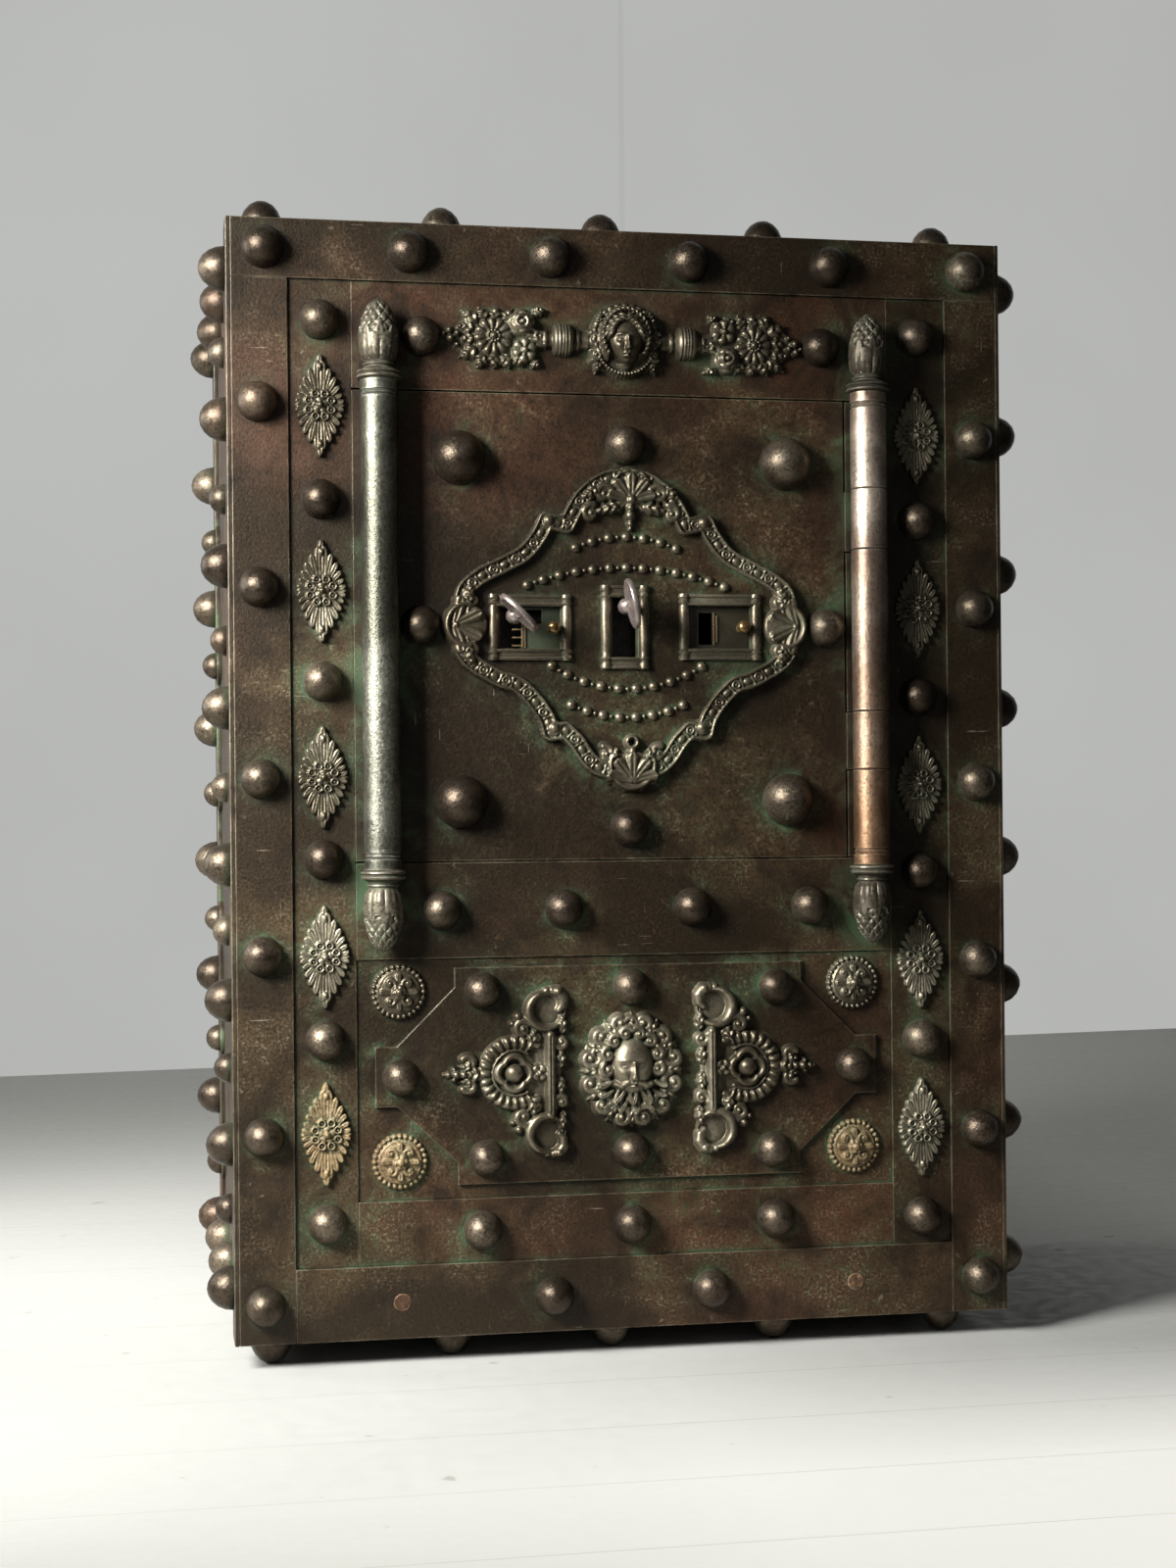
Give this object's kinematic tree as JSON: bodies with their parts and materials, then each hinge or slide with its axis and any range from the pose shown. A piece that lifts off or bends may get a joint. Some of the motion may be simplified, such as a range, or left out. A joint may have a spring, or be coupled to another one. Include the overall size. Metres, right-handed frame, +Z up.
{
  "type": "iron strongbox",
  "caption": "Upright iron strongbox with ball-studded plates, a hinged upper door with a shaped escutcheon and wing knobs, turned side columns and cast relief ornaments.",
  "frame": {"origin": "under the middle of the whole object's box, on the plane that the foot studs stand on", "axes": "+Z up, the studded front with the door faces -Y, +X to the right of someone facing the front"},
  "size_m": [0.736, 0.503, 1.004],
  "materials": {
    "iron_plate": "dark forged iron, brown patina and rust",
    "panel_iron": "reddish-brown worn iron",
    "ornament_metal": "cast relief, grey-green patina with bright tops",
    "column_steel": "worn, silvery green",
    "hinge_bronze": "worn warm bronze",
    "knob_steel": "handled bright, slightly pink",
    "shutter_paint": "old green-brown paint",
    "inner_iron": "dull dark iron",
    "bolt_steel": "bare steel, lightly oiled"
  },
  "bodies": {
    "frame": {"left_side_plate": "iron_plate", "right_side_plate": "iron_plate", "top_plate": "iron_plate", "bottom_plate": "iron_plate", "back_plate": "iron_plate", "left_front_strap": "iron_plate", "left_rear_strap": "iron_plate", "right_front_strap": "iron_plate", "right_rear_strap": "iron_plate", "top_band": "iron_plate", "left_band": "iron_plate", "right_band": "iron_plate", "bottom_band": "iron_plate", "left_stile": "iron_plate", "right_stile": "iron_plate", "top_rail": "panel_iron", "middle_rail": "panel_iron", "bottom_rail": "panel_iron", "lower_panel": "panel_iron", "lower_overlay_plate": "panel_iron", "left_post": "inner_iron", "right_post": "inner_iron", "head_bar": "inner_iron", "sill_bar": "inner_iron", "compartment_floor": "inner_iron", "shelf": "inner_iron", "left_column": "column_steel", "hinge_pin": "hinge_bronze", "lower_frame_knuckle": "hinge_bronze", "middle_frame_knuckle": "hinge_bronze", "upper_frame_knuckle": "hinge_bronze", "head_medallion": "ornament_metal", "left_flower_spray": "ornament_metal", "right_flower_spray": "ornament_metal", "lower_left_ornament": "ornament_metal", "lower_right_ornament": "ornament_metal", "lower_mask": "ornament_metal"},
    "door": {"door_plate": "panel_iron", "escutcheon_plate": "ornament_metal", "left_window_frame": "ornament_metal", "middle_window_frame": "ornament_metal", "right_window_frame": "ornament_metal", "lower_door_knuckle": "hinge_bronze", "upper_door_knuckle": "hinge_bronze", "closing_flange": "inner_iron", "hinge_flange": "inner_iron", "upper_flange": "inner_iron", "lower_flange": "inner_iron", "lock_bearing_plate": "inner_iron", "lock_cover_plate": "inner_iron"},
    "bolt_work": {"lower_bolt": "bolt_steel", "middle_bolt": "bolt_steel", "upper_bolt": "bolt_steel", "bolt_bar": "bolt_steel"},
    "left_wing": {"left_wing_knob": "knob_steel"},
    "middle_wing": {"middle_wing_knob": "knob_steel", "bolt_cam": "bolt_steel"},
    "left_shutter_leaf": {"left_shutter": "shutter_paint"},
    "right_shutter_leaf": {"right_shutter": "shutter_paint"}
  },
  "joints": [
    {"name": "door_swing", "type": "hinge", "parent": "frame", "child": "door", "pos_m": [0.217, -0.2195, 0.634], "axis": [0, 0, 1], "range_deg": [0, 120]},
    {"name": "bolt_throw", "type": "slide", "parent": "door", "child": "bolt_work", "axis": [-1, 0, 0], "range_m": [0, 0.018]},
    {"name": "middle_wing_turn", "type": "hinge", "parent": "door", "child": "middle_wing", "pos_m": [-0.001, -0.2345, 0.653], "axis": [0, 1, 0], "range_deg": [0, 90]},
    {"name": "left_wing_turn", "type": "hinge", "parent": "door", "child": "left_wing", "pos_m": [-0.1, -0.2345, 0.644], "axis": [0, 1, 0], "range_deg": [0, 90]},
    {"name": "left_shutter_slide", "type": "slide", "parent": "door", "child": "left_shutter_leaf", "axis": [-1, 0, 0], "range_m": [0, 0.018]},
    {"name": "right_shutter_slide", "type": "slide", "parent": "door", "child": "right_shutter_leaf", "axis": [-1, 0, 0], "range_m": [0, 0.008]}
  ],
  "couplings": [
    {"joint": "middle_wing_turn", "follows": "bolt_throw", "rad_per_m": 87.26}
  ]
}
